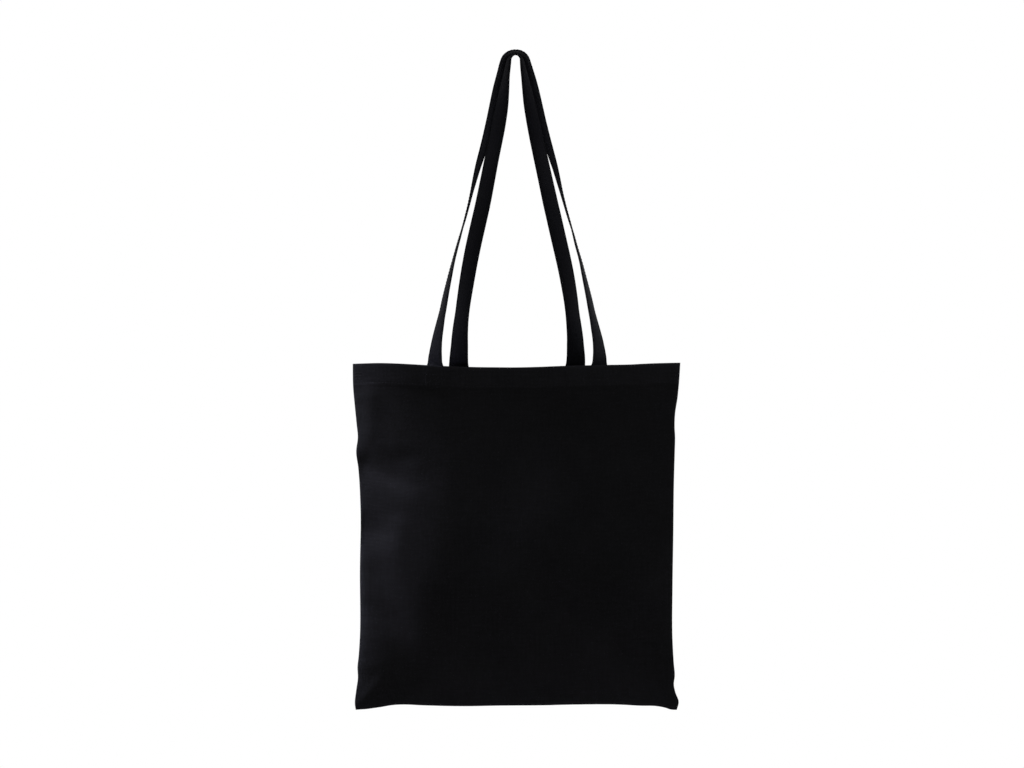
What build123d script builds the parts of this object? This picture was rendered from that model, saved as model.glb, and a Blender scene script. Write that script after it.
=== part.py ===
"""Plain canvas tote bag, hung by its two long handles from one hook.

Millimetres, +Z up, X across the bag, front towards -Y.
The origin is the point under the handles' crest where the hook bears.
"""

from build123d import *
import os
from math import asin, atan2, cos, degrees, exp, hypot, radians, sin, tan

# Body
BAG_WIDTH = 380.0
BAG_HEIGHT = 400.0
BOTTOM_WIDTH = 375.0
SIDE_DRAW_IN = 8.6  # how far each side seam is pulled in at half height
DRAW_REACH = 75.0  # how far from the hem, or the bottom, it takes to be pulled in
MOUTH_DEPTH = 42.0  # front hem to back hem, over the outside
BELLY_DEPTH = 60.0
BELLY_DROP = 200.0  # from the hem's top edge down to the fullest part
MOUTH_FLAT = 220.0  # straight length of each hem, the rest curves to the side seams
BELLY_FLAT = 140.0
TAPER = 2.4  # how late the belly narrows to the bottom seam
BODY_STEPS = 14

# Cloth, hem and seams
CLOTH = 0.6
HEM_HEIGHT = 25.0
HEM_PLIES = 3  # the panel itself and two turned-in plies
SEAM_ALLOWANCE = 10.0
SEAM_THICKNESS = 1.6
SEAM_CLEARANCE = 0.3
SEAM_INSET = 0.4  # seam edge inside the panels' edge

# Handles
HANDLE_DROP = 362.0  # hem's top edge up to the underside of the crest
STRAP_WIDTH = 25.0
STRAP_THICKNESS = 1.6
STRAP_CLEARANCE = 0.3
FRONT_SPACING = 188.0  # centre to centre of the two ends
BACK_SPACING = 134.0
FRONT_CREST_RADIUS = 16.0
BACK_CREST_RADIUS = 8.5
CREST_GAP = 1.0  # between the two straps, side by side on the hook
FRONT_BEND_HEIGHT = 30.0  # from the hem up to where each leg turns inward
BACK_BEND_HEIGHT = 50.0
BEND_RADIUS = 240.0
FRONT_TURN = 85.0  # degrees the strap has turned well above the hem
FRONT_TURN_REACH = 60.0
BACK_TURN = 44.0
BACK_TURN_REACH = 40.0
CREST_TURN = 90.0
CREST_TURN_REACH = 90.0

# Thread
THREAD = 0.35
THREAD_WIDTH = 0.7
STITCH_INSET = 2.5  # from the edge of a strap or hem to its row of stitches
BOX_HEIGHT = 11.0
BOX_DROP = 10.5  # hem's top edge down to the boxed cross
TACK_ROWS = 3
TACK_PITCH = 4.5
TACK_LENGTH = 8.0

TOP = -HANDLE_DROP
BOTTOM = TOP - BAG_HEIGHT
HEM_BOTTOM = TOP - HEM_HEIGHT
BELLY = TOP - BELLY_DROP
HEM = HEM_PLIES * CLOTH
MOUTH = MOUTH_DEPTH / 2
EDGE = SEAM_THICKNESS / 2 + SEAM_CLEARANCE + CLOTH  # panel's outer face at a side seam
HEM_END = SEAM_ALLOWANCE + 2 * SEAM_CLEARANCE  # turned-in plies stop short of the seam
STRAP_INNER = MOUTH - HEM - STRAP_CLEARANCE - STRAP_THICKNESS
STRAP_BASE = STRAP_INNER + STRAP_THICKNESS / 2
CREST_Y = (STRAP_WIDTH + CREST_GAP) / 2
BOX_WIDTH = STRAP_WIDTH - 2 * STITCH_INSET
LEG_STEPS = 22
CREST_STEPS = 8


def ease(value):
    """0 to 1 with a soft start and a soft end."""
    value = min(max(value, 0.0), 1.0)
    return value * value * (3 - 2 * value)


def half_width(z):
    below = HEM_BOTTOM - z
    above = z - BOTTOM
    widest = BAG_WIDTH if z > BELLY else BOTTOM_WIDTH
    waist = BAG_WIDTH / 2 - SIDE_DRAW_IN
    return waist + (widest / 2 - waist) * (1 - ease(min(below, above) / DRAW_REACH))


def half_depth(z):
    if z >= BELLY:
        return MOUTH + (BELLY_DEPTH / 2 - MOUTH) * ease((HEM_BOTTOM - z) / (HEM_BOTTOM - BELLY))
    part = (BELLY - z) / (BELLY - BOTTOM)
    least = EDGE + CLOTH
    return least + (BELLY_DEPTH / 2 - least) * (1 - part**TAPER)


def flat_half(z):
    part = ease((HEM_BOTTOM - z) / (HEM_BOTTOM - BELLY))
    return (MOUTH_FLAT + (BELLY_FLAT - MOUTH_FLAT) * part) / 2


def ply(z, near, far, end):
    """Plan outline of a front ply at height z, between two depths in from the outer face."""
    wide = half_width(z)
    flat = flat_half(z)
    deep = half_depth(z)
    run = wide - flat
    rise = deep - EDGE
    radius = (run * run + rise * rise) / (2 * rise)
    swing = asin((end - flat) / radius)

    def at(side, turn, inward):
        r = radius - inward
        return Vector(side * (flat + r * sin(turn)), radius - deep - r * cos(turn), z)

    def arc(side, first, last, inward):
        turns = (first, (first + last) / 2, last)
        return Edge.make_three_point_arc(*[at(side, turn, inward) for turn in turns])

    def line(a, b):
        return Edge.make_line(at(*a), at(*b))

    return Wire(
        [
            arc(-1, swing, 0, near),
            line((-1, 0, near), (1, 0, near)),
            arc(1, 0, swing, near),
            line((1, swing, near), (1, swing, far)),
            arc(1, swing, 0, far),
            line((1, 0, far), (-1, 0, far)),
            arc(-1, 0, swing, far),
            line((-1, swing, far), (-1, swing, near)),
        ]
    )


def upright(z, height, near, far, end):
    """A ply of constant outline from z up."""
    return Solid.extrude(Face(ply(z, near, far, end)), Vector(0, 0, height))


def block(x, y, z):
    """Box between the two ends given for each axis."""
    size = [b - a for a, b in (x, y, z)]
    return Pos(*[(a + b) / 2 for a, b in (x, y, z)]) * Box(*size)


def on_back(shape):
    return mirror(shape, about=Plane.XZ)


def on_right(shape):
    return mirror(shape, about=Plane.YZ)


# Heights of the panel's sections below the hem
BODY_HEIGHTS = [HEM_BOTTOM + (BOTTOM - HEM_BOTTOM) * step / BODY_STEPS for step in range(BODY_STEPS + 1)]


def panel():
    hem = upright(HEM_BOTTOM, HEM_HEIGHT, 0, CLOTH, half_width(HEM_BOTTOM))
    body = Solid.make_loft([ply(z, 0, CLOTH, half_width(z)) for z in BODY_HEIGHTS])
    return hem + body


def hem_fold():
    return upright(HEM_BOTTOM, HEM_HEIGHT, CLOTH, HEM, half_width(TOP) - HEM_END)


def hem_stitching():
    low = HEM_BOTTOM + STITCH_INSET - THREAD_WIDTH / 2
    return upright(low, THREAD_WIDTH, -THREAD, 0, half_width(TOP) - HEM_END)


def side_seam():
    """Left seam: both panels' edges turned in, from the bottom up to the mouth."""
    outlines = []
    for z in [TOP] + BODY_HEIGHTS:
        outer = -half_width(z) + SEAM_INSET
        inner = outer + SEAM_ALLOWANCE
        thick = SEAM_THICKNESS / 2
        corners = [(outer, -thick), (inner, -thick), (inner, thick), (outer, thick)]
        outlines.append(Wire.make_polygon([Vector(x, y, z) for x, y in corners], close=True))
    upper = Solid.make_loft(outlines[:2])
    lower = Solid.make_loft(outlines[1:])
    return upper + lower


def bottom_seam():
    reach = min(half_width(BOTTOM), half_width(BOTTOM + SEAM_ALLOWANCE))
    reach -= SEAM_INSET + SEAM_ALLOWANCE + SEAM_CLEARANCE
    thick = SEAM_THICKNESS / 2
    return block((-reach, reach), (-thick, thick), (BOTTOM + SEAM_INSET, BOTTOM + SEAM_ALLOWANCE))


def seam_tack():
    """Left end of the mouth hem: short rows of stitches, front and back."""
    edge = half_width(TOP)
    first = -edge + HEM_END / 2
    rows = []
    for row in range(TACK_ROWS):
        z = HEM_BOTTOM + STITCH_INSET + (row + 1) * TACK_PITCH
        band = upright(z, THREAD_WIDTH, -THREAD, 0, edge - SEAM_INSET)
        keep = block((first, first + TACK_LENGTH), (-MOUTH_DEPTH, 0), (z - 1, z + TACK_PITCH))
        front = band & keep
        rows += [front, on_back(front)]
    return Compound(children=rows)


def strap_end(spacing):
    """Left sewn-down end of the front handle, inside the hem."""
    x = -spacing / 2
    return block(
        (x - STRAP_WIDTH / 2, x + STRAP_WIDTH / 2),
        (-STRAP_INNER - STRAP_THICKNESS, -STRAP_INNER),
        (HEM_BOTTOM + SEAM_INSET, TOP),
    )


def box_stitch(spacing):
    """Left boxed cross through hem and strap end: its outside and its inside thread."""
    wide = BOX_WIDTH
    tall = BOX_HEIGHT
    ring = Box(wide, THREAD, tall) - Box(wide - 2 * THREAD_WIDTH, THREAD, tall - 2 * THREAD_WIDTH)
    slope = atan2(tall - THREAD_WIDTH, wide - THREAD_WIDTH)
    length = hypot(tall - THREAD_WIDTH, wide - THREAD_WIDTH)
    cross = ring
    for way in (1, -1):
        turned = Rot(0, way * degrees(slope), 0)
        cross += turned * Box(length, THREAD, THREAD_WIDTH)
    x = -spacing / 2
    z = TOP - BOX_DROP - tall / 2
    outside = Pos(x, -MOUTH - THREAD / 2, z) * cross
    inside = Pos(x, -STRAP_INNER + THREAD / 2, z) * cross
    return Compound(children=[outside, inside])


def leg_path(spacing, crest_radius, bend_height):
    """Middle line of the left leg, from the hem up and over to the top of the crest."""
    x = -spacing / 2
    corner = Vector(x, 0, TOP + bend_height)
    r = crest_radius
    middle = Vector(0, 0, STRAP_THICKNESS / 2 - r)
    away = corner - middle
    lean = atan2(-away.X, -away.Z) - asin(r / away.length)
    touch = middle + Vector(-r * cos(lean), 0, r * sin(lean))
    half = (radians(90) - lean) / 2 + lean
    over = middle + Vector(-r * cos(half), 0, r * sin(half))
    start = Vector(x, 0, TOP + STRAP_CLEARANCE)
    reach = BEND_RADIUS * tan(lean / 2)
    bend_in = corner - Vector(0, 0, reach)
    up = Vector(sin(lean), 0, cos(lean))
    bend_out = corner + up * reach
    edges = [
        Edge.make_line(start, bend_in),
        Edge.make_tangent_arc(bend_in, Vector(0, 0, 1), bend_out),
        Edge.make_line(bend_out, touch),
        Edge.make_three_point_arc(touch, over, middle + Vector(0, 0, r)),
    ]
    return Wire(edges), edges[3].length


def front_turn(along, left):
    return FRONT_TURN * (1 - exp(-along / FRONT_TURN_REACH))


def back_turn(along, left):
    last = ease(1 - left / CREST_TURN_REACH)
    low = BACK_TURN * (1 - exp(-along / BACK_TURN_REACH))
    return low + (CREST_TURN - low) * last


def strap(path, crest_length, turn, side, across, through):
    """Loft along a handle: a slab between two places across the strap and two through it."""
    whole = path.length
    leg = whole - crest_length
    stops = [leg * (step / LEG_STEPS) ** 1.4 for step in range(LEG_STEPS)]
    stops += [leg + crest_length * step / CREST_STEPS for step in range(CREST_STEPS + 1)]
    left_half = []
    for along in stops:
        place = path.position_at(along / whole)
        up = path.tangent_at(along / whole)
        inward = Vector(up.Z, 0, -up.X)
        angle = radians(turn(along, whole - along))
        wide = inward * cos(angle) - Vector(0, 1, 0) * sin(angle)
        out = wide.cross(up)
        depth = side * (STRAP_BASE + (CREST_Y - STRAP_BASE) * along / whole)
        place = Vector(place.X, depth, place.Z)
        corners = []
        for a, t in ((0, 0), (1, 0), (1, 1), (0, 1)):
            corners.append(place + wide * across[a] + out * through[t])
        left_half.append(corners)
    right_half = []
    for corners in reversed(left_half[:-1]):
        right_half.append([Vector(-corner.X, corner.Y, corner.Z) for corner in corners])
    outlines = [Wire.make_polygon(corners, close=True) for corners in left_half + right_half]
    return Solid.make_loft(outlines, ruled=True)


def handle(spacing, crest_radius, bend_height, turn, side):
    """The free loop of one handle and its two rows of edge stitching."""
    path, crest_length = leg_path(spacing, crest_radius, bend_height)
    half = STRAP_WIDTH / 2
    face = STRAP_THICKNESS / 2
    loop = strap(path, crest_length, turn, side, (-half, half), (-face, face))
    rows = []
    for edge in (-1, 1):
        middle = edge * (half - STITCH_INSET)
        across = (middle - THREAD_WIDTH / 2, middle + THREAD_WIDTH / 2)
        through = (face + THREAD / 3, face + THREAD)
        rows.append(strap(path, crest_length, turn, side, across, through))
    return loop, Compound(children=rows)


os.makedirs("parts", exist_ok=True)
shapes = {}

shapes["front_panel"] = panel()
shapes["front_hem"] = hem_fold()
shapes["front_hem_stitching"] = hem_stitching()
for piece in ("panel", "hem", "hem_stitching"):
    shapes["back_" + piece] = on_back(shapes["front_" + piece])

shapes["left_side_seam"] = side_seam()
shapes["left_seam_tack"] = seam_tack()
for piece in ("side_seam", "seam_tack"):
    shapes["right_" + piece] = on_right(shapes["left_" + piece])
shapes["bottom_seam"] = bottom_seam()

end = strap_end(FRONT_SPACING)
box = box_stitch(FRONT_SPACING)
shapes["front_left_strap_end"] = end
shapes["front_right_strap_end"] = on_right(end)
shapes["front_left_box_stitch"] = box
shapes["front_right_box_stitch"] = on_right(box)
end = on_back(strap_end(BACK_SPACING))
box = on_back(box_stitch(BACK_SPACING))
shapes["back_left_strap_end"] = end
shapes["back_right_strap_end"] = on_right(end)
shapes["back_left_box_stitch"] = box
shapes["back_right_box_stitch"] = on_right(box)

loop, rows = handle(FRONT_SPACING, FRONT_CREST_RADIUS, FRONT_BEND_HEIGHT, front_turn, -1)
shapes["front_strap"] = loop
shapes["front_strap_stitching"] = rows
loop, rows = handle(BACK_SPACING, BACK_CREST_RADIUS, BACK_BEND_HEIGHT, back_turn, 1)
shapes["back_strap"] = loop
shapes["back_strap_stitching"] = rows

for name, shape in shapes.items():
    export_step(shape, "parts/" + name + ".step")
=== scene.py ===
"""Looks of a black canvas tote bag, hung by its two long handles.

Metres, +Z up, front towards -Y, origin under the crest of the handles.
Sizes written in millimetres are turned to metres by MM.
"""

from math import asin, atan2, cos, hypot, pi, radians, sin, tan

import bpy
import numpy as np
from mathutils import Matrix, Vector


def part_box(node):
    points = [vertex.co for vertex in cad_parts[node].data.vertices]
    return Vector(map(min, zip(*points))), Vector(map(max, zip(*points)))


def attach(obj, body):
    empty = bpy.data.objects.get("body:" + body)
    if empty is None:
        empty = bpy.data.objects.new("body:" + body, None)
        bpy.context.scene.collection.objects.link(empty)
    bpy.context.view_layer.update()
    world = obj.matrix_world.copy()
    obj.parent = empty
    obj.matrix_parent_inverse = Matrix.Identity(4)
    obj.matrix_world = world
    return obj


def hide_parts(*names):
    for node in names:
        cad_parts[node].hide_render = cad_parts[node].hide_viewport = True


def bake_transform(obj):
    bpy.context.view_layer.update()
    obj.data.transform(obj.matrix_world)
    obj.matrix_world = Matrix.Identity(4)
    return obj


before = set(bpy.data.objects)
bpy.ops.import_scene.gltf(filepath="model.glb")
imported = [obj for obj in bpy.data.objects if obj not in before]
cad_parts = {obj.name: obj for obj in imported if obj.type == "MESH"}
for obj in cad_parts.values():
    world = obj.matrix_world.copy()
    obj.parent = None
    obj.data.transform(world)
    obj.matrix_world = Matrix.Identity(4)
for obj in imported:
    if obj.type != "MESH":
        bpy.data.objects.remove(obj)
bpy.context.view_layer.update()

MM = 0.001
BACKWARD = np.array([0, 1.0, 0])

# Thickness of the canvas
CLOTH = 0.6 * MM

# Sizes taken from the frame
panel_low, panel_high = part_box("front_panel")
hem_low, hem_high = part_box("front_hem")
HALF_WIDTH = panel_high[0]
TOP = panel_high[2]
BOTTOM = panel_low[2]
TALL = TOP - BOTTOM
BELLY_DEPTH = -panel_low[1]
MOUTH_DEPTH = -hem_low[1] + CLOTH
HEM_HEIGHT = hem_high[2] - hem_low[2]

# Body: height of the belly, half width of its flat middle at the mouth and at the belly,
# and how suddenly the depth closes towards the bottom seam and towards the side seams
BELLY = TOP - 200 * MM
MOUTH_FLAT = 110 * MM
BELLY_FLAT = 70 * MM
TAPER = 2.4
ROUND = 2.3

# Seams: half the gap between the panels, how far the cloth rolls out past the stitching and
# how tightly, and how far in the seam holds the folds down
SEAM_GAP = 0.4 * MM
SEAM_LIP = 1.1 * MM
SEAM_ROLL = 0.9 * MM
SEAM_HOLD = 6 * MM

# Puckers beside a seam: height, length, and how far from the seam they rise and die out
PUCKER = 0.5 * MM
PUCKER_LENGTH = 2.9 * MM
PUCKER_RISE = 2.5 * MM
PUCKER_REACH = 8 * MM

# Slow unevenness of the hanging cloth: height, and how far below the hem it is in full
UNEVEN = 0.45 * MM
UNEVEN_BELOW = 60 * MM

# Hem: spacing of its plies and how far from the side seams they close up, its row of stitches
# and how far from the seams the row stops, and the depth at which the cloth turns under
PLY = 0.9 * MM
PLY_PINCH = 9 * MM
HEM_ROW = 22.5 * MM
HEM_ROW_STOP = 6 * MM
HEM_UNDER = 24 * MM

# Hem's relief: its own thickness, the groove of its stitches, and the strap ends behind it
HEM_LIFT = 0.45 * MM
HEM_GROOVE = 0.35 * MM
HEM_GROOVE_WIDTH = 1.3 * MM
STRAP_LIFT = 0.7 * MM
STRAP_LIFT_HALF = 11.5 * MM

# Mesh of a panel: its spacing and the closer points beside a seam, the rows of its hem outside,
# inside and between the plies, as places below the mouth's edge, the place where the fold over
# that edge starts, the points round a fold, and the cloth that the fold under takes
PANEL_STEP = 2.8 * MM
BESIDE_SEAM = np.array([0, 0.5, 1.1, 2.0, 3.2, 5.0]) * MM
HEM_OUTSIDE = np.array([26.5, 25, 23.8, 22.5, 21.2, 20, 17, 14, 11, 8, 5, 3, 1.6]) * MM
HEM_INSIDE = np.array([3, 6, 9, 12, 15, 18, 21, 23]) * MM
HEM_BETWEEN = np.array([21, 18, 15]) * MM
FOLD_DROP = 1 * MM
FOLD_POINTS = 7
UNDER_TAKES = 1 * MM

# Side seams seen from the front, as height and place across, in millimetres
LEFT_EDGE = [
    (-762, -186.6), (-757, -187.4), (-742, -186.1), (-725, -183.9), (-714, -184.4),
    (-700, -183.0), (-682, -181.8), (-603, -181.6), (-528, -180.9), (-482, -183.5),
    (-463, -185.9), (-446, -184.0), (-432, -185.3), (-408, -187.7), (-389, -189.4),
    (-360, -189.9),
]
RIGHT_EDGE = [
    (-762, 186.2), (-754, 188.3), (-743, 184.4), (-733, 182.5), (-724, 183.6), (-708, 182.4),
    (-682, 181.0), (-620, 181.0), (-560, 181.9), (-500, 182.6), (-463, 183.6), (-446, 184.0),
    (-434, 183.4), (-417, 184.2), (-402, 186.6), (-389, 188.0), (-360, 190.0),
]
# Mouth's edge, as place across and height: it dips between the handles
HEM_EDGE = [
    (-190, -361.2), (-180, -360.9), (-158, -360.4), (-130, -361.3), (-116, -362.1),
    (-90, -363.6), (-47, -365.1), (-19, -365.4), (-5, -365.5), (22, -365.0), (50, -363.9),
    (106, -362.6), (133, -362.0), (147, -361.2), (175, -360.2), (190, -359.9),
]
# Bottom seam, as place across and height: its corners hang lowest
BOTTOM_EDGE = [
    (-190, -761.8), (-178, -761.0), (-160, -758.7), (-146, -756.4), (-132, -755.6),
    (-115, -756.3), (-60, -757.5), (-20, -756.9), (30, -756.5), (70, -755.6), (120, -755.7),
    (145, -757.0), (165, -757.6), (175, -759.4), (182, -761.5), (190, -761.8),
]

# Soft folds of each panel, in millimetres: from, to, width above, width below and height,
# which is below nought for a hollow
FRONT_FOLDS = [
    ((-186, -473), (-96, -506), 34, 15, -5.4),
    ((-178, -443), (-102, -468), 16, 14, 1.6),
    ((-172, -388), (-170, -470), 14, 14, 3.0),
    ((-122, -474), (-114, -534), 18, 18, 1.8),
    ((-184, -547), (-140, -562), 18, 20, -4.0),
    ((-140, -540), (-138, -610), 16, 16, 1.8),
    ((-168, -590), (-118, -716), 22, 18, -3.0),
    ((-196, -575), (-190, -745), 30, 30, 4.0),
    ((-180, -640), (-118, -668), 14, 14, -1.2),
    ((-186, -760), (-152, -724), 8, 8, 1.4),
    ((156, -726), (187, -760), 8, 8, 1.6),
    ((140, -690), (184, -728), 10, 10, -1.4),
    ((150, -470), (183, -430), 10, 10, 1.0),
    ((150, -610), (183, -560), 14, 14, 1.0),
    ((-94, -392), (-80, -520), 20, 20, 1.2),
    ((94, -392), (82, -540), 20, 20, 1.2),
    ((5, -410), (-6, -560), 34, 34, -1.2),
    ((-60, -700), (70, -716), 22, 22, 1.2),
]
BACK_FOLDS = [
    ((184, -450), (120, -500), 11, 11, 3.2),
    ((182, -470), (118, -524), 11, 11, -2.6),
    ((-183, -520), (-130, -566), 11, 11, 3.0),
    ((-183, -545), (-136, -598), 11, 11, -2.4),
    ((181, -630), (140, -680), 12, 12, 2.2),
    ((-186, -760), (-148, -716), 9, 9, 1.8),
    ((187, -760), (150, -720), 9, 9, 1.8),
    ((-67, -392), (-60, -520), 20, 20, 1.2),
    ((67, -392), (58, -540), 20, 20, 1.2),
    ((0, -640), (60, -720), 30, 30, 1.4),
]

# Strap's section: its size, places across one half, the rounding of its edges, and the row of
# stitches by each edge, with its groove
STRAP_WIDTH = 25 * MM
STRAP_THICKNESS = 1.6 * MM
STRAP_HALF = np.array([-12.5, -12.35, -11.9, -11.2, -10.5, -10, -9.5, -8.6, -5, -1.7]) * MM
STRAP_EDGE = 0.8 * MM
STRAP_ROW = 10 * MM
STRAP_GROOVE = 0.28 * MM
STRAP_GROOVE_WIDTH = 0.5 * MM

# Strap's line: the sewn length below the mouth's edge, how far it moves inward on leaving the
# hem and over what length, the bend above the mouth, the depth at the crest, the points round
# the bend and the crest, and the spacing of its mesh
STRAP_TAIL = 24 * MM
STRAP_SHIFT = 4.7 * MM
SHIFT_LENGTH = 14 * MM
BEND_RADIUS = 240 * MM
CREST_Y = 13 * MM
BEND_POINTS = 30
CREST_POINTS = 60
STRAP_STEP = 1.25 * MM

# Hang of a strap's face: how far it curls and sways, once it is this far from its sewn end
STRAP_CURL = 0.7 * MM
STRAP_SWAY = 0.5 * MM
STRAP_FREE = 40 * MM

# Degrees each strap has turned from flat, by millimetres above the mouth
FRONT_TURN = [
    (-10.5, 0), (0, 43), (9, 51), (26, 60.5), (42, 66.5), (58, 72), (75, 74.5), (92, 77.5),
    (108, 80.5), (123, 83.5), (150, 86), (172, 90), (190, 91.5), (205, 94), (220, 98),
    (234, 101.4), (243, 103.6), (252, 105), (264, 104.6), (285, 103.2), (348, 103),
    (362, 101), (374, 94), (384, 90),
]
BACK_TURN = [
    (-10.5, 0), (0, 24), (9, 30), (26, 38), (42, 44), (60, 49), (76, 48.5), (95, 46.5),
    (120, 45), (190, 45), (222, 47), (242, 48), (308, 49), (325, 57), (342, 64), (358, 69),
    (366, 75), (376, 86), (390, 90),
]
# How far the left and the right leg hang aside of a straight line, by millimetres above the mouth
FRONT_DRIFT = [
    [
        (-11, 0), (0, -0.3), (26, 0.6), (45, 1.0), (62, 0.4), (80, -0.7), (105, -1.1),
        (140, -0.8), (165, -0.3), (185, -0.1), (215, -0.3), (232, -0.4), (243, -0.2), (252, 0),
        (264, -0.3), (285, -1.0), (305, -1.4), (330, -1.7), (345, -1.6), (357, -1.9),
        (366, -1.5), (380, -0.9),
    ],
    [
        (-11, 0), (0, 1.8), (26, 1.3), (42, 0.5), (60, 0.8), (75, 1.8), (105, 2.5), (123, 2.6),
        (140, 2.0), (155, 2.0), (188, 0.8), (205, 0.3), (222, 0.1), (234, 0), (243, -0.3),
        (252, -0.5), (264, -0.3), (285, 0.2), (305, 0.4), (335, 0.1), (350, -0.5),
        (362, -0.9), (380, -0.9),
    ],
]
BACK_DRIFT = [
    [
        (-11, 0), (0, -0.4), (26, 0.8), (45, 1.2), (62, 1.1), (80, 0.3), (110, -0.2), (140, 0),
        (165, 0.6), (190, 1.4), (220, 1.7), (245, 1.5), (285, 1.0), (325, 0), (345, -1.4),
        (360, -1.9), (380, -0.8),
    ],
    [
        (-11, 0), (0, 1.8), (26, 1.4), (45, 0.8), (60, 0.8), (78, 1.7), (105, 2.1), (125, 1.7),
        (150, 0.9), (172, 0.1), (190, -0.8), (208, -1.4), (240, -1.9), (290, -1.5),
        (322, -1.6), (345, -0.8), (360, 0), (380, -0.8),
    ],
]

# Thread: its radius, how deep it sinks into a strap, and the length and gap of its stitches in
# a long row and in a box
THREAD_RADIUS = 0.34 * MM
THREAD_SUNK = 0.2 * MM
STITCH_LENGTH = 3.2 * MM
STITCH_GAP = 0.7 * MM
BOX_STITCH = 2.6 * MM
BOX_STITCH_GAP = 0.6 * MM

# Box of stitches on each strap end, and the tack at each end of the mouth, as places below the
# mouth's edge and in from the seam
BOX_DROP = 10.5 * MM
BOX_HEIGHT = 11 * MM
BOX_WIDTH = 20 * MM
TACK_ROWS = (10.5 * MM, 14 * MM, 17.5 * MM)
TACK_NEAR = 3 * MM
TACK_FAR = 12 * MM

# Seams turned inside: width and half thickness of the two raw edges together, the points across
# them, how far they waver and how far in from the seam they start, how far above the bottom and
# below the mouth a side seam ends, how far from the sides the bottom one does, and the spacing
# and reach of the overlock stitches
EDGE_WIDTH = 9.5 * MM
EDGE_HALF = 0.7 * MM
EDGE_POINTS = np.array([0.4, 2, 4, 6, 8, 9.5]) * MM
EDGE_WAVER = 0.8 * MM
EDGE_SET_IN = 1.2 * MM
SIDE_START = 12 * MM
SIDE_STOP = 2 * MM
BOTTOM_STOP = 14 * MM
OVERLOCK_STEP = 2.6 * MM
OVERLOCK_NEAR = 4.5 * MM
OVERLOCK_FAR = 9.7 * MM

# How far the cloth is painted paler, from 0 to 1, and the width over which that fades: over the
# whole hem, a painted light; along the mouth's edge, wear and a painted highlight where the fold
# turns up; beside the seams and on the strap's edges, wear
HEM_PAINTED_LIGHT, HEM_PAINTED_LIGHT_FADE = 0.18, 2 * MM
FOLD_WEAR_AND_HIGHLIGHT, FOLD_WEAR_AND_HIGHLIGHT_FADE = 0.4, 2.5 * MM
SEAM_RUB, SEAM_RUB_FADE = 0.35, 2 * MM
STRAP_RUB, STRAP_RUB_FADE = 0.3, 0.6 * MM


def handle_sizes(end_node, **hang):
    """What sets one handle apart, with the place of its sewn ends read from the frame."""
    low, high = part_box(end_node)
    return {"half_spacing": -(low[0] + high[0]) / 2, "base": (low[1] + high[1]) / 2, **hang}


FRONT_HANDLE = handle_sizes(
    "front_left_strap_end",
    crest_radius=13.5 * MM,
    bend_height=30 * MM,
    turn=FRONT_TURN,
    drift=FRONT_DRIFT,
)
BACK_HANDLE = handle_sizes(
    "back_left_strap_end",
    crest_radius=8.5 * MM,
    bend_height=50 * MM,
    turn=BACK_TURN,
    drift=BACK_DRIFT,
)


def ease(value):
    """0 to 1 with a soft start and a soft end."""
    value = np.clip(value, 0, 1)
    return value * value * (3 - 2 * value)


def curve(points, at):
    """Smooth line through points of place and value, the places in millimetres, read at metres."""
    place, value = np.array(points, float).T
    at = np.asarray(at) / MM
    slope = np.gradient(value, place)
    low = np.clip(np.searchsorted(place, at) - 1, 0, len(place) - 2)
    step = place[low + 1] - place[low]
    t = np.clip((at - place[low]) / step, 0, 1)
    start = (2 * t**3 - 3 * t**2 + 1) * value[low] + (t**3 - 2 * t**2 + t) * step * slope[low]
    end = (3 * t**2 - 2 * t**3) * value[low + 1] + (t**3 - t**2) * step * slope[low + 1]
    return start + end


def run_along(points):
    """Length along a line of points, from 0 at its first."""
    steps = np.linalg.norm(np.diff(points, axis=0), axis=1)
    return np.concatenate([[0], np.cumsum(steps)])


def swelled(z):
    """How far the body has filled out, 0 at the hem and 1 at the belly."""
    hem_end = TOP - HEM_HEIGHT
    return ease((hem_end - z) / (hem_end - BELLY))


def depth_at(z):
    """Half the bag's depth in its middle, by height."""
    upper = MOUTH_DEPTH + (BELLY_DEPTH - MOUTH_DEPTH) * swelled(z)
    part = np.clip((BELLY - z) / (BELLY - BOTTOM), 0, 1)
    lower = SEAM_GAP + (BELLY_DEPTH - SEAM_GAP) * (1 - part**TAPER)
    return np.where(z > BELLY, upper, lower)


def fold(x, z, start, end, above, below, height):
    """A rounded ridge or hollow along a straight line, dying out over its farther half."""
    (x0, z0), (x1, z1) = np.array(start) * MM, np.array(end) * MM
    length = hypot(x1 - x0, z1 - z0)
    along = ((x - x0) * (x1 - x0) + (z - z0) * (z1 - z0)) / length**2
    aside = ((x - x0) * (z1 - z0) - (z - z0) * (x1 - x0)) / length
    fade = ease((along + 0.15) / 0.3) * (1 - ease((along - 0.45) / 0.75))
    width = np.where(aside * np.sign(x1 - x0) > 0, below, above) * MM
    return height * MM * fade * np.exp(-((aside / width) ** 2))


def undulation(x, z, side):
    """Slow unevenness of hanging cloth, none at the hem."""
    wave = np.sin(x / (31 * MM) + side) * np.sin(z / (47 * MM) + 0.6 * side)
    wave += 0.7 * np.sin(x / (19 * MM) - z / (38 * MM) + 2 * side)
    return UNEVEN * wave * ease((TOP - HEM_HEIGHT - z) / UNEVEN_BELOW)


def seam_ripple(along, away, seam, side):
    """Puckers that a sewn seam gathers in the cloth beside it, different for each seam."""
    phase = 1.7 * seam + 0.8 * side
    wave = np.sin(along / PUCKER_LENGTH + phase + 2.2 * np.sin(along / (23 * MM) + phase))
    strength = 0.55 + 0.45 * np.sin(along / (37 * MM) + 2.3 * phase)
    near = (1 - np.exp(-away / PUCKER_RISE)) * np.exp(-away / PUCKER_REACH)
    return PUCKER * strength * wave * near


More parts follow.
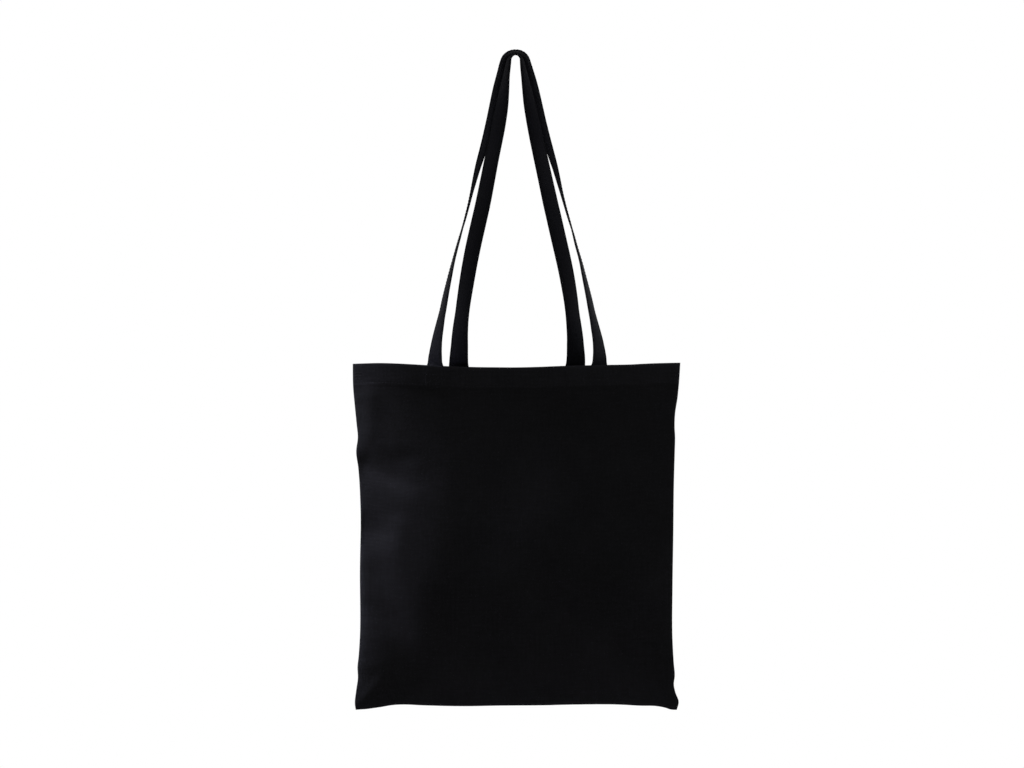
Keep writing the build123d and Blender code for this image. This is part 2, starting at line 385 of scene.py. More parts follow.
def hem_relief(x, drop, side):
    """Raised strap ends behind the hem, the sewn groove and the hem's own thickness."""
    half_spacing = (FRONT_HANDLE if side < 0 else BACK_HANDLE)["half_spacing"]
    # Each of them fades out over a few millimetres
    raised = 0
    for end in (-1, 1):
        near = 1 - ease((np.abs(x - end * half_spacing) - STRAP_LIFT_HALF) / (2.5 * MM))
        raised = raised + near * (1 - ease((drop - HEM_HEIGHT) / (4 * MM)))
    groove = np.exp(-(((drop - HEM_ROW) / HEM_GROOVE_WIDTH) ** 2))
    thick = 1 - ease((drop - HEM_HEIGHT + 1 * MM) / (3 * MM))
    return STRAP_LIFT * raised - HEM_GROOVE * groove + HEM_LIFT * thick


def outer_face(u, drop, side):
    """Outer face of a panel: u is -1 to 1 across, drop is 0 at the mouth and 1 at the bottom."""
    x = u * HALF_WIDTH
    top = curve(HEM_EDGE, x) * MM
    z = top + (curve(BOTTOM_EDGE, x) * MM - SEAM_LIP - top) * drop
    left = curve(LEFT_EDGE, z) * MM - SEAM_LIP
    right = curve(RIGHT_EDGE, z) * MM + SEAM_LIP
    half = (right - left) / 2
    x = (left + right) / 2 + u * half
    from_side = (1 - np.abs(u)) * half
    from_bottom = (1 - drop) * TALL
    # A flat middle that rounds off to the side seams
    flat = MOUTH_FLAT + (BELLY_FLAT - MOUTH_FLAT) * swelled(z)
    rounded = np.clip((np.abs(u) * half - flat) / (half - flat), 0, 1) ** ROUND
    y = SEAM_GAP + (depth_at(TOP - TALL * drop) - SEAM_GAP) * (1 - rounded)
    inside = 1 - np.exp(-np.minimum(from_side, from_bottom) / SEAM_HOLD)
    for line in FRONT_FOLDS if side < 0 else BACK_FOLDS:
        y = y + inside * fold(x, z, *line)
    y = y + inside * undulation(x, z, side)
    y = y + seam_ripple(z, from_side, np.sign(u), side)
    y = y + seam_ripple(x, from_bottom, 2, side)
    y = y + hem_relief(x, top - z, side)
    x = x - np.sign(u) * SEAM_LIP * np.exp(-from_side / SEAM_ROLL)
    return np.stack([x, side * y, z], -1)


def leg_line(handle):
    """Middle line of a left leg in the handle's plane, from its sewn end to the crest's top."""
    half, r = handle["half_spacing"], handle["crest_radius"]
    centre = np.array([0, -r])
    corner = np.array([-half, TOP + handle["bend_height"]])
    away = corner - centre
    lean = atan2(-away[0], -away[1]) - asin(r / hypot(*away))
    bend_start = corner - [0, BEND_RADIUS * tan(lean / 2)]
    turn = np.linspace(0, lean, BEND_POINTS)[1:]
    bend = bend_start + BEND_RADIUS * np.stack([1 - np.cos(turn), np.sin(turn)], -1)
    over = np.linspace(lean, pi / 2, CREST_POINTS)
    crest = centre + r * np.stack([-np.cos(over), np.sin(over)], -1)
    return np.concatenate([[[-half, TOP - STRAP_TAIL]], [bend_start], bend, crest])


def strap_frames(handle):
    """Places along a whole handle, left end to right end.

    Gives each place with its widthwise and outward directions and the length run so far.
    """
    line = leg_line(handle)
    run = run_along(line)
    at = np.linspace(0, run[-1], int(run[-1] / STRAP_STEP) + 1)
    x, z = (np.interp(at, run, line[:, k]) for k in (0, 1))
    height = at - STRAP_TAIL
    up = np.stack([np.gradient(x, at), np.zeros_like(x), np.gradient(z, at)], -1)
    up[-1] = (1, 0, 0)
    up /= np.linalg.norm(up, axis=1, keepdims=True)
    # Inward on leaving the hem, then slowly to its depth at the crest
    y = abs(handle["base"]) - STRAP_SHIFT * ease((height + BOX_DROP) / SHIFT_LENGTH)
    y = y + (CREST_Y - y) * ease(height / (at[-1] - STRAP_TAIL))
    place = np.stack([x, np.sign(handle["base"]) * y, z], -1)
    angle = np.radians(curve(handle["turn"], height))[:, None]
    inward = np.stack([up[:, 2], np.zeros_like(x), -up[:, 0]], -1)
    wide = inward * np.cos(angle) - BACKWARD * np.sin(angle)
    out = np.cross(wide, up)
    # The right leg mirrors the left one, and each has its own drift
    mirror = np.array([-1, 1, 1])
    place, wide, out = (np.concatenate([a, a[-2::-1] * mirror]) for a in (place, wide, out))
    left, right = (curve(points, height) * MM for points in handle["drift"])
    place[:, 0] += np.concatenate([left, right[-2::-1]])
    return place, wide, out, np.concatenate([at, 2 * at[-1] - at[-2::-1]])


def colour(hex_value):
    """sRGB hex to linear."""
    parts = [int(hex_value[k : k + 2], 16) / 255 for k in (1, 3, 5)]
    return [c / 12.92 if c <= 0.04045 else ((c + 0.055) / 1.055) ** 2.4 for c in parts] + [1]


def add(tree, kind, inputs=None, **settings):
    """Adds a node, sets it up and fills or links its inputs, a whole node by its first output."""
    node = tree.nodes.new(kind)
    for name, value in settings.items():
        setattr(node, name, value)
    for name, value in (inputs or {}).items():
        if isinstance(value, bpy.types.Node):
            value = value.outputs[0]
        if isinstance(value, bpy.types.NodeSocket):
            tree.links.new(value, node.inputs[name])
        else:
            node.inputs[name].default_value = value
    return node


# Short names of the kinds of node that come often
MATH, NOISE, MIX = "ShaderNodeMath", "ShaderNodeTexNoise", "ShaderNodeMix"
RANGE, VECTOR = "ShaderNodeMapRange", "ShaderNodeVectorMath"

# Weave: spacing of the yarns, how far they wander and over what length, width of a slub and its
# share of that along the yarn, size of lint flecks and of worn patches, height of a yarn, and
# the greys of lint and of cloth paled by wear and by painted light
YARN = 0.9 * MM
# The real yarns are under a pixel, so they are drawn this much coarser to show as a weave
COARSER = 1.7
WANDER = 2.5 * MM
WANDER_LENGTH = 30 * MM
SLUB = 3 * MM
SLUB_ALONG = 0.12
LINT = 1.6 * MM
WORN_PATCH = 90 * MM
YARN_HEIGHT = 0.35 * MM
LINT_GREY = "#202024"
WEAR_AND_LIGHT_GREY = "#2c2c31"


def woven(name, dark, light):
    """Plain-weave cotton dyed black: matt, yarns over and under with painted shade between, paler
    by wear and painted light.
    """
    material = bpy.data.materials.new(name)
    material.use_nodes = True
    tree = material.node_tree
    shader = tree.nodes["Principled BSDF"]
    cloth = add(tree, "ShaderNodeAttribute", attribute_name="cloth").outputs["Vector"]
    wear_and_painted_light = add(tree, "ShaderNodeAttribute", attribute_name="wear_and_painted_light").outputs["Fac"]
    # Yarns wander a little from straight
    wander = add(tree, NOISE, {"Vector": cloth, "Scale": 1 / WANDER_LENGTH, "Detail": 2})
    aside = {0: wander.outputs["Color"], 1: (WANDER, WANDER, 0), 2: cloth}
    drawn = add(tree, VECTOR, aside, operation="MULTIPLY_ADD")
    place = add(tree, "ShaderNodeSeparateXYZ", {"Vector": drawn}).outputs
    waves, ridges, crowns = [], [], []
    for axis in ("X", "Y"):
        yarns = {0: place[axis], 1: pi / (YARN * COARSER)}
        turns = add(tree, MATH, yarns, operation="MULTIPLY")
        waves.append(add(tree, MATH, {0: turns}, operation="SINE"))
        ridges.append(add(tree, MATH, {0: waves[-1]}, operation="ABSOLUTE"))
        crowns.append(add(tree, MATH, {0: ridges[-1]}, operation="SQRT"))
    # Warp and weft take turns on top, each a rounded float
    upright = add(tree, MATH, {0: ridges[0], 1: crowns[1]}, operation="MULTIPLY")
    level = add(tree, MATH, {0: crowns[0], 1: ridges[1]}, operation="MULTIPLY")
    over = add(tree, MATH, {0: waves[0], 1: waves[1]}, operation="MULTIPLY")
    on_top = add(tree, MATH, {0: over, 1: 0.0}, operation="GREATER_THAN")
    crown = add(tree, MIX, {0: on_top, 2: level, 3: upright})
    # Slubs are thick places drawn out along one yarn, both ways
    slubs = []
    for scale in ((1, SLUB_ALONG, 1), (SLUB_ALONG, 1, 1)):
        along = add(tree, "ShaderNodeMapping", {"Vector": cloth, "Scale": scale})
        slubs.append(add(tree, NOISE, {"Vector": along, "Scale": 1 / SLUB, "Detail": 3}))
    slub = add(tree, MATH, {0: slubs[0], 1: slubs[1]}, operation="ADD")
    slub = add(tree, MATH, {0: slub, 1: 0.5}, operation="MULTIPLY")
    # The crowns are lighter than the gaps between yarns, which is painted shade; the dye is
    # lighter on slubs and in worn patches, with flecks of lint
    patches = add(tree, NOISE, {"Vector": cloth, "Scale": 1 / WORN_PATCH, "Detail": 4})
    mixed = add(tree, MATH, {0: crown, 1: 0.8, 2: slub}, operation="MULTIPLY_ADD")
    mixed = add(tree, MATH, {0: mixed, 1: patches}, operation="ADD")
    tone = add(tree, RANGE, {"Value": mixed, "From Min": 0.72, "From Max": 2.12})
    dyed = {0: tone, 6: colour(dark), 7: colour(light)}
    dyed = add(tree, MIX, dyed, data_type="RGBA").outputs[2]
    lint = add(tree, NOISE, {"Vector": cloth, "Scale": 1 / LINT, "Detail": 1})
    lint = add(tree, RANGE, {"Value": lint, "From Min": 0.66, "From Max": 0.8})
    flecked = {0: lint, 6: dyed, 7: colour(LINT_GREY)}
    flecked = add(tree, MIX, flecked, data_type="RGBA").outputs[2]
    # Wear, and the light painted on the hem and along the mouth's edge, pale the cloth towards a
    # grey
    paled = add(tree, MATH, {0: wear_and_painted_light, 1: tone}, operation="MULTIPLY")
    paler = {0: paled, 6: flecked, 7: colour(WEAR_AND_LIGHT_GREY)}
    paler = add(tree, MIX, paler, data_type="RGBA").outputs[2]
    height = add(tree, MATH, {0: slub, 1: crown}, operation="ADD")
    relief = {"Height": height, "Strength": 0.5, "Distance": YARN_HEIGHT}
    relief = add(tree, "ShaderNodeBump", relief)
    tree.links.new(paler, shader.inputs["Base Color"])
    tree.links.new(relief.outputs["Normal"], shader.inputs["Normal"])
    shader.inputs["Roughness"].default_value = 0.6
    shader.inputs["Specular IOR Level"].default_value = 0.012
    shader.inputs["Sheen Weight"].default_value = 0.02
    shader.inputs["Sheen Roughness"].default_value = 0.45
    shader.inputs["Sheen Tint"].default_value = colour("#9a9aa6")
    return material


# Thread: length and height of its twisted plies
TWIST = 0.8 * MM
TWIST_HEIGHT = 0.1 * MM


def spun_thread():
    """Black spun thread: matt twisted plies, which catch a little more light than the canvas."""
    material = bpy.data.materials.new("black spun thread")
    material.use_nodes = True
    tree = material.node_tree
    shader = tree.nodes["Principled BSDF"]
    place = add(tree, "ShaderNodeTexCoord").outputs["Object"]
    plies = add(tree, NOISE, {"Vector": place, "Scale": 1 / TWIST, "Detail": 2})
    dyed = {0: plies, 6: colour("#0b0b0d"), 7: colour("#18181b")}
    dyed = add(tree, MIX, dyed, data_type="RGBA").outputs[2]
    relief = {"Height": plies, "Strength": 0.3, "Distance": TWIST_HEIGHT}
    relief = add(tree, "ShaderNodeBump", relief)
    tree.links.new(dyed, shader.inputs["Base Color"])
    tree.links.new(relief.outputs["Normal"], shader.inputs["Normal"])
    shader.inputs["Roughness"].default_value = 0.8
    shader.inputs["Specular IOR Level"].default_value = 0.05
    shader.inputs["Sheen Weight"].default_value = 0.015
    return material


CANVAS = woven("black cotton canvas", "#0a0a0b", "#171719")
STRAP = woven("folded black canvas strap", "#0a0a0d", "#17171c")
THREAD = spun_thread()


def piece(name, points, faces, material, cloth=None, wear_and_painted_light=None):
    """A smooth mesh piece, with its flat cloth places and its places of wear and painted light
    kept for the weave.
    """
    mesh = bpy.data.meshes.new(name)
    points = np.reshape(points, (-1, 3)).tolist()
    mesh.from_pydata(points, [], [list(map(int, face)) for face in faces])
    mesh.polygons.foreach_set("use_smooth", [True] * len(mesh.polygons))
    if cloth is not None:
        kept = mesh.attributes.new("cloth", "FLOAT_VECTOR", "POINT")
        flat = np.zeros((len(mesh.vertices), 3), np.float32)
        flat[:, :2] = np.reshape(cloth, (-1, 2))
        kept.data.foreach_set("vector", flat.ravel())
    if wear_and_painted_light is not None:
        kept = mesh.attributes.new("wear_and_painted_light", "FLOAT", "POINT")
        kept.data.foreach_set("value", np.ravel(wear_and_painted_light).astype(np.float32))
    mesh.materials.append(material)
    mesh.update()
    made = bpy.data.objects.new(name, mesh)
    bpy.context.scene.collection.objects.link(made)
    return made


def grid_faces(rows, columns, closed=False, flip=False):
    """Quads over a grid of points, closed round its columns or open."""
    last = columns if closed else columns - 1
    row, this = np.meshgrid(np.arange(rows - 1), np.arange(last), indexing="ij")
    after = (this + 1) % columns
    low, high = row * columns, (row + 1) * columns
    quads = np.stack([low + this, low + after, high + after, high + this], -1).reshape(-1, 4)
    return quads[:, ::-1] if flip else quads


def tube_faces(rows, columns, flip=False):
    """Quads round a closed section from end to end, with both ends capped."""
    faces = [list(quad) for quad in grid_faces(rows, columns, closed=True)]
    faces += [list(range(columns))[::-1], [(rows - 1) * columns + k for k in range(columns)]]
    return [face[::-1] for face in faces] if flip else faces


def spaced(start, end, step, ends):
    """Places from start to end, close together at the ends and a step apart between."""
    middle = np.arange(start + ends[-1] + step, end - ends[-1] - step / 2, step)
    return np.concatenate([start + ends, middle, end - ends[::-1]])


def hem_ply(across, depth, drop, side):
    """A row inside the hem: the outer face moved in by the plies it lies under."""
    at = outer_face(across, np.full_like(across, drop / TALL), side)
    slope = np.gradient(at, axis=0)
    inward = np.stack([slope[:, 1], -slope[:, 0], 0 * across], -1)
    inward *= -side / np.linalg.norm(inward, axis=1, keepdims=True)
    inward[:, 1] = np.where(np.sign(inward[:, 1]) == side, -inward[:, 1], inward[:, 1])
    pinch = ease((1 - np.abs(across)) * HALF_WIDTH / PLY_PINCH)[:, None]
    return at + inward * depth * pinch


def panel(name, side):
    """A panel from the bottom seam up, over the mouth's edge and down inside as a hem."""
    across = spaced(0, 2 * HALF_WIDTH, PANEL_STEP, BESIDE_SEAM) / HALF_WIDTH - 1
    # Even rows between those of the bottom seam and those of the hem
    even = np.arange(TALL - 8 * MM, HEM_HEIGHT + 3 * MM, -PANEL_STEP)
    drops = np.concatenate([TALL - BESIDE_SEAM, even, HEM_OUTSIDE])
    u, drop = np.meshgrid(across, drops / TALL)
    rows, length = list(outer_face(u, drop, side)), list(TALL - drops)
    turns = np.linspace(0, pi, FOLD_POINTS)
    # Over the mouth's edge
    for t in turns:
        row = hem_ply(across, PLY * (1 - cos(t)), FOLD_DROP, side)
        row[:, 2] += PLY * sin(t)
        rows.append(row)
        length.append(TALL - FOLD_DROP + PLY * t)
    # Down inside, turned under, and up between the plies
    for down in HEM_INSIDE:
        rows.append(hem_ply(across, 2 * PLY, down, side))
        length.append(TALL + down)
    for t in turns[1:]:
        row = hem_ply(across, PLY * (1.5 + 0.5 * cos(t)), HEM_UNDER, side)
        row[:, 2] -= 0.5 * PLY * sin(t)
        rows.append(row)
        length.append(TALL + HEM_UNDER + PLY * t / 2)
    for down in HEM_BETWEEN:
        rows.append(hem_ply(across, PLY, down, side))
        length.append(TALL + 2 * HEM_UNDER + UNDER_TAKES - down)
    length = np.array(length)[:, None]
    cloth = np.stack(np.broadcast_arrays(across * HALF_WIDTH, length), -1)
    # Painted light over the whole hem, wear and a painted highlight along the mouth's edge, and
    # wear beside the seams
    wear_and_painted_light = HEM_PAINTED_LIGHT * ease((length - TALL + HEM_HEIGHT) / HEM_PAINTED_LIGHT_FADE)
    wear_and_painted_light = wear_and_painted_light + FOLD_WEAR_AND_HIGHLIGHT * np.exp(-(((length - TALL) / FOLD_WEAR_AND_HIGHLIGHT_FADE) ** 2))
    beside = np.minimum((1 - np.abs(across)) * HALF_WIDTH, length)
    wear_and_painted_light = wear_and_painted_light + SEAM_RUB * np.exp(-beside / SEAM_RUB_FADE)
    faces = grid_faces(len(rows), len(across), flip=side > 0)
    made = piece(name, np.array(rows), faces, CANVAS, cloth, wear_and_painted_light)
    thick = made.modifiers.new("cloth thickness", "SOLIDIFY")
    thick.thickness = CLOTH
    thick.offset = 0
    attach(made, "bag")
    return made


# One stitch: places along it, its thickness and lift there in radii, and the points round it
STITCH_PARTS = (0, 0.12, 0.32, 0.68, 0.88, 1)
STITCH_SWELL = (0.35, 0.8, 1, 1, 0.8, 0.35)
STITCH_LIFT = (-0.9, 0.1, 0.45, 0.45, 0.1, -0.9)
STITCH_ROUND = np.linspace(0, 2 * pi, 7)[:-1]


def stitches(name, segments):
    """Thread: each segment is a start, an end and the way out of the cloth."""
    start, end, out = (np.array([segment[k] for segment in segments]) for k in range(3))
    along = end - start
    unit = along / np.linalg.norm(along, axis=1, keepdims=True)
    out = out - unit * np.sum(out * unit, axis=1, keepdims=True)
    out /= np.linalg.norm(out, axis=1, keepdims=True)
    aside = np.cross(unit, out)
    rings = []
    for part, swell, lift in zip(STITCH_PARTS, STITCH_SWELL, STITCH_LIFT):
        centre = start + along * part + out * THREAD_RADIUS * lift
        ring = [aside * cos(angle) + out * sin(angle) for angle in STITCH_ROUND]
        rings.append(np.stack([centre + THREAD_RADIUS * swell * way for way in ring], 1))
    one = tube_faces(len(STITCH_PARTS), len(STITCH_ROUND), flip=True)
    size = len(STITCH_PARTS) * len(STITCH_ROUND)
    faces = [[k * size + i for i in face] for k in range(len(segments)) for face in one]
    return piece(name, np.stack(rings, 1), faces, THREAD)


def row_of(points, normals, length=STITCH_LENGTH, gap=STITCH_GAP):
    """Stitches along a line of points on the cloth."""
    run = run_along(points)
    count = max(int(run[-1] / (length + gap)), 1)
    pitch = run[-1] / count
    found = []
    for k in range(count):
        ends = [k * pitch + gap / 2, (k + 1) * pitch - gap / 2]
        a, b = (np.array([np.interp(e, run, points[:, i]) for i in range(3)]) for e in ends)
        out = np.array([np.interp(sum(ends) / 2, run, normals[:, i]) for i in range(3)])
        found.append((a, b, out))
    return found


# A small step across a panel, to find which way its cloth faces, and the points that a row of
# stitches is laid along: the hem's, one side of a box, and a tack's
NUDGE = 0.5 * MM
HEM_ROW_POINTS, BOX_POINTS, TACK_POINTS = 260, 24, 12


def on_panel(x, drop, side, inner=0.0):
    """Places on a panel's outer face, or a depth inside it, with the way out of the cloth."""
    x, drop = np.broadcast_arrays(np.asarray(x, float), np.asarray(drop, float))
    u, down = x / HALF_WIDTH, drop / TALL
    at = outer_face(u, down, side)
    across = outer_face(u + NUDGE / HALF_WIDTH, down, side) - at
    out = np.cross(across, np.array([0, 0, 1.0]))
    out *= side * np.sign(out[:, 1:2]) / np.linalg.norm(out, axis=1, keepdims=True)
    if inner:
        return at - out * inner, -out
    return at + out * CLOTH / 2, out


def hem_thread(face, side):
    """The row that holds the hem down, seen outside and inside."""
    x = np.linspace(HEM_ROW_STOP - HALF_WIDTH, HALF_WIDTH - HEM_ROW_STOP, HEM_ROW_POINTS)
    segments = row_of(*on_panel(x, HEM_ROW, side))
    segments += row_of(*on_panel(x, HEM_ROW, side, 2 * PLY + CLOTH / 2))
    made = stitches(face + "_hem_thread", segments)
    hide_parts(face + "_hem_stitching")
    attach(made, "bag")


def box_thread(corner, end, side, handle):
    """A box of stitches crossed corner to corner, through hem and strap, seen on both faces."""
    middle = end * handle["half_spacing"]
    half, top, low = BOX_WIDTH / 2, BOX_DROP, BOX_DROP + BOX_HEIGHT
    corners = [(-half, top), (half, top), (half, low), (-half, low), (-half, top), (half, low)]
    lines = list(zip(corners[:-1], corners[1:])) + [((half, top), (-half, low))]
    strap_face = handle["base"] - side * STRAP_THICKNESS / 2
    segments = []
    for (xa, da), (xb, db) in lines:
        x = np.linspace(middle + xa, middle + xb, BOX_POINTS)
        drop = np.linspace(da, db, BOX_POINTS)
        at, out = on_panel(x, drop, side)
        segments += row_of(at, out, BOX_STITCH, BOX_STITCH_GAP)
        within = np.stack([x, np.full(BOX_POINTS, strap_face), at[:, 2]], -1)
        inward = np.tile(-side * BACKWARD, (BOX_POINTS, 1))
        segments += row_of(within, inward, BOX_STITCH, BOX_STITCH_GAP)
    made = stitches(corner + "_box_thread", segments)
    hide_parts(corner + "_box_stitch")
    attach(made, "bag")


def tack_thread(word, end):
    """Three short rows that tie the hem to the side seam, front and back."""
    x = end * np.linspace(HALF_WIDTH - TACK_FAR, HALF_WIDTH - TACK_NEAR, TACK_POINTS)
    segments = []
    for side in (-1, 1):
        for drop in TACK_ROWS:
            segments += row_of(*on_panel(x, drop, side))
    made = stitches(word + "_tack_thread", segments)
    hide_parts(word + "_seam_tack")
    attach(made, "bag")


def strap_profile():
    """Round the strap's section: places across and through, with a sewn groove by each edge."""
    across = np.concatenate([STRAP_HALF, -STRAP_HALF[::-1]])
    edge = np.clip((STRAP_WIDTH / 2 - np.abs(across)) / STRAP_EDGE, 0, 1)
    deep = STRAP_THICKNESS / 2 * np.sqrt(1 - (1 - edge) ** 2)
    from_row = (np.abs(across) - STRAP_ROW) / STRAP_GROOVE_WIDTH
    deep = deep - STRAP_GROOVE * np.exp(-(from_row**2))
    face = np.stack([across, deep], -1)
    back = np.stack([across, -deep], -1)[::-1]
    return np.concatenate([face, back[1:-1]])


def strap(face, handle):
    """One handle: a folded strap from sewn end to sewn end, turned as it hangs."""
    place, wide, out, along = strap_frames(handle)
    profile = strap_profile()
    across, through = profile.T
    half = STRAP_WIDTH / 2
    free = ease((place[:, 2] - TOP + BOX_DROP) / STRAP_FREE)
    curl = STRAP_CURL * free * (1 + 0.6 * np.sin(along / (53 * MM)))
    sway = STRAP_SWAY * free * np.sin(along / (21 * MM)) * np.sin(along / (67 * MM))
    through = through + curl[:, None] * (1 - (across / half) ** 2) + sway[:, None]
    points = place[:, None] + wide[:, None] * across[None, :, None]
    points = points + out[:, None] * through[..., None]
    faces = tube_faces(len(place), len(profile))
    cloth = np.stack(np.broadcast_arrays(across, along[:, None]), -1)
    # Only wear on the strap's edges, with no painted light
    wear_and_painted_light = STRAP_RUB * np.exp(-(half - np.abs(across)) / STRAP_RUB_FADE)
    wear_and_painted_light = np.tile(wear_and_painted_light, len(place))
    made = piece(face + "_handle_strap", points, faces, STRAP, cloth, wear_and_painted_light)
    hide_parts(face + "_strap", face + "_left_strap_end", face + "_right_strap_end")
    segments = []
    for offset in (-STRAP_ROW, STRAP_ROW):
        for outward in (-1, 1):
            bowed = curl * (1 - (offset / half) ** 2) + sway
            deep = outward * (STRAP_THICKNESS / 2 - THREAD_SUNK)
            line = place + wide * offset + out * (bowed + deep)[:, None]
            segments += row_of(line, out * outward)
    thread = stitches(face + "_strap_thread", segments)
    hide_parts(face + "_strap_stitching")
    for part in (made, thread):
        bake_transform(part)


def inner_seam(name, line, inward):
    """A turned-in seam inside the bag: both raw edges whipped together with overlock thread."""
    run = run_along(line)
    waver = EDGE_WAVER * np.sin(run / (7 * MM) + 1.3 * np.sin(run / (31 * MM)))
    deep = np.append(EDGE_POINTS, EDGE_POINTS[::-1])
    share = deep / EDGE_WIDTH
    faces_apart = np.repeat([EDGE_HALF, -EDGE_HALF], len(EDGE_POINTS))
    thick = faces_apart * np.minimum(1, 0.6 + share)
    through = thick + share**2 * waver[:, None]
    points = line[:, None] + inward * deep[:, None] + BACKWARD * through[..., None]
    faces = tube_faces(len(line), len(deep), flip=inward[0] > 0)
    cloth = np.stack(np.broadcast_arrays(deep, run[:, None]), -1)
    made = piece(name + "_allowance", points, faces, CANVAS, cloth)
    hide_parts(name)
    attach(made, "bag")
    segments = []
    for k in range(len(line) - 1):
        for side in (-1, 1):
            ends = []
            for reach, at in ((OVERLOCK_NEAR, k), (OVERLOCK_FAR, k + 1)):
                lean = (reach / EDGE_WIDTH) ** 2 * waver[at] + side * EDGE_HALF
                ends.append(line[at] + inward * reach + BACKWARD * lean)
            segments.append((*ends, side * BACKWARD))
    whipped = stitches(name + "_overlock", segments)
    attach(whipped, "bag")


def side_line(end):
    """Line of a side seam inside the bag, from the bottom up."""
    z = np.arange(BOTTOM + SIDE_START, TOP - SIDE_STOP, OVERLOCK_STEP)
    edge = curve(LEFT_EDGE if end < 0 else RIGHT_EDGE, z) * MM
    return np.stack([edge - end * EDGE_SET_IN, 0 * z, z], -1)


def bottom_line():
    """Line of the bottom seam inside the bag, left to right."""
    x = np.arange(BOTTOM_STOP - HALF_WIDTH, HALF_WIDTH - BOTTOM_STOP, OVERLOCK_STEP)
    return np.stack([x, 0 * x, curve(BOTTOM_EDGE, x) * MM + EDGE_SET_IN], -1)


front = panel("front_panel_cloth", -1)
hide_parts("front_panel", "front_hem")
back = panel("back_panel_cloth", 1)
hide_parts("back_panel", "back_hem")

for face, side, handle in (("front", -1, FRONT_HANDLE), ("back", 1, BACK_HANDLE)):
    hem_thread(face, side)
    for word, end in (("left", -1), ("right", 1)):
        box_thread(face + "_" + word, end, side, handle)
    strap(face, handle)
tack_thread("left", -1)
tack_thread("right", 1)

inner_seam("left_side_seam", side_line(-1), np.array([1.0, 0, 0]))
inner_seam("right_side_seam", side_line(1), np.array([-1.0, 0, 0]))
inner_seam("bottom_seam", bottom_line(), np.array([0, 0, 1.0]))

# Studio, in metres: how far the floor lies below the bag, its radius and the points round it,
# the ring over which it fades to white, and how white it is inside that. The camera stands
# level, at the height of the hem
FLOOR_DROP = 0.35
FLOOR_REACH = 1.7
FLOOR_POINTS = 96
FLOOR_FADE = (0.35, 1.35)
FLOOR_WHITE = 0.6
CAMERA_PLACE = (-0.0052, -3.4, -0.3845)
CAMERA_LENS = 102.9


def seen_by_eye(tree):
    """1 for what the eye sees, straight, in a reflection or through glass, and 0 for light."""
    path = add(tree, "ShaderNodeLightPath").outputs
    seen = {0: path["Is Camera Ray"], 1: path["Is Glossy Ray"]}
    seen = add(tree, MATH, seen, operation="ADD")
    seen = {0: seen, 1: path["Is Transmission Ray"]}
    return add(tree, MATH, seen, operation="ADD", use_clamp=True)


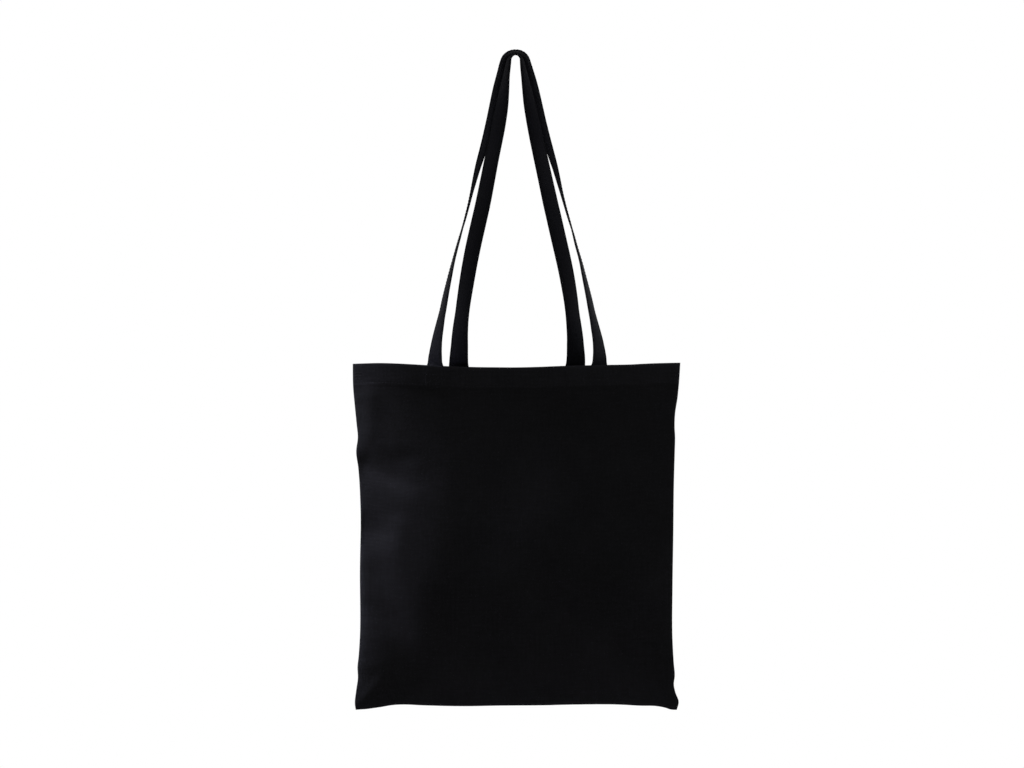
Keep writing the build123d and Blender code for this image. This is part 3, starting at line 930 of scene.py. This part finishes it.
def studio_floor():
    """A pale floor well under the bag."""
    around = np.linspace(0, 2 * pi, FLOOR_POINTS + 1)[:-1]
    level = np.full_like(around, BOTTOM - FLOOR_DROP)
    rim = np.stack([FLOOR_REACH * np.cos(around), FLOOR_REACH * np.sin(around), level], -1)
    mesh = bpy.data.meshes.new("floor")
    mesh.from_pydata(rim.tolist(), [], [list(range(len(rim)))])
    floor = bpy.data.objects.new("floor", mesh)
    bpy.context.scene.collection.objects.link(floor)
    # Pale matt paint: it keeps the bag's shadow and fades to white at its rim
    paint = bpy.data.materials.new("pale matt paint")
    paint.use_nodes = True
    tree = paint.node_tree
    shader = tree.nodes["Principled BSDF"]
    shader.inputs["Base Color"].default_value = colour("#c8c8c8")
    shader.inputs["Roughness"].default_value = 0.9
    shader.inputs["Specular IOR Level"].default_value = 0.1
    place = add(tree, "ShaderNodeTexCoord").outputs["Object"]
    flat = add(tree, VECTOR, {0: place, 1: (1, 1, 0)}, operation="MULTIPLY")
    away = add(tree, VECTOR, {0: flat}, operation="LENGTH").outputs["Value"]
    ring = {"Value": away, "From Min": FLOOR_FADE[0], "From Max": FLOOR_FADE[1]}
    ring["To Min"] = FLOOR_WHITE
    fade = add(tree, RANGE, ring, interpolation_type="SMOOTHSTEP")
    white = add(tree, "ShaderNodeEmission", {"Color": colour("#ffffff"), "Strength": 1.0})
    part = add(tree, MATH, {0: seen_by_eye(tree), 1: fade}, operation="MULTIPLY")
    mixed = add(tree, "ShaderNodeMixShader", {0: part, 1: shader, 2: white}).outputs[0]
    tree.links.new(mixed, tree.nodes["Material Output"].inputs["Surface"])
    mesh.materials.append(paint)


def surroundings():
    """White to the eye, and a soft even light on the bag."""
    world = bpy.data.worlds.new("studio")
    bpy.context.scene.world = world
    world.use_nodes = True
    tree = world.node_tree
    soft = tree.nodes["Background"]
    soft.inputs["Color"].default_value = colour("#f6f5f2")
    soft.inputs["Strength"].default_value = 0.64
    white = add(tree, "ShaderNodeBackground", {"Color": colour("#ffffff"), "Strength": 1.0})
    mixed = {0: seen_by_eye(tree), 1: soft, 2: white}
    mixed = add(tree, "ShaderNodeMixShader", mixed).outputs[0]
    tree.links.new(mixed, tree.nodes["World Output"].inputs["Surface"])


def lamp(name, place, aim, size, power, beam):
    """A square soft lamp turned to a place on the bag, its beam in degrees."""
    light = bpy.data.lights.new(name, "AREA")
    light.size = size
    light.energy = power
    light.color = colour("#e9ebfd")[:3]
    light.spread = radians(beam)
    made = bpy.data.objects.new(name, light)
    made.location = place
    made.rotation_euler = (Vector(aim) - made.location).to_track_quat("-Z", "Y").to_euler()
    bpy.context.scene.collection.objects.link(made)


def camera():
    """Level camera that frames the bag as the photograph does."""
    view = bpy.data.cameras.new("camera")
    view.sensor_width = 36
    view.lens = CAMERA_LENS
    made = bpy.data.objects.new("camera", view)
    made.location = CAMERA_PLACE
    made.rotation_euler = (radians(90), 0, 0)
    bpy.context.scene.collection.objects.link(made)
    bpy.context.scene.camera = made


studio_floor()
surroundings()
lamp("key", place=(-1.5, 0, 0.75), aim=(-0.15, 0, -0.7), size=0.45, power=3.2, beam=12)
lamp("left_edge", place=(-1.7, 1.1, -0.6), aim=(0, 0, -0.45), size=0.5, power=0.09, beam=16)
lamp("right_edge", place=(1.7, 1.1, -0.6), aim=(0, 0, -0.45), size=0.5, power=0.2, beam=16)
camera()
bpy.context.scene.view_settings.view_transform = "Standard"
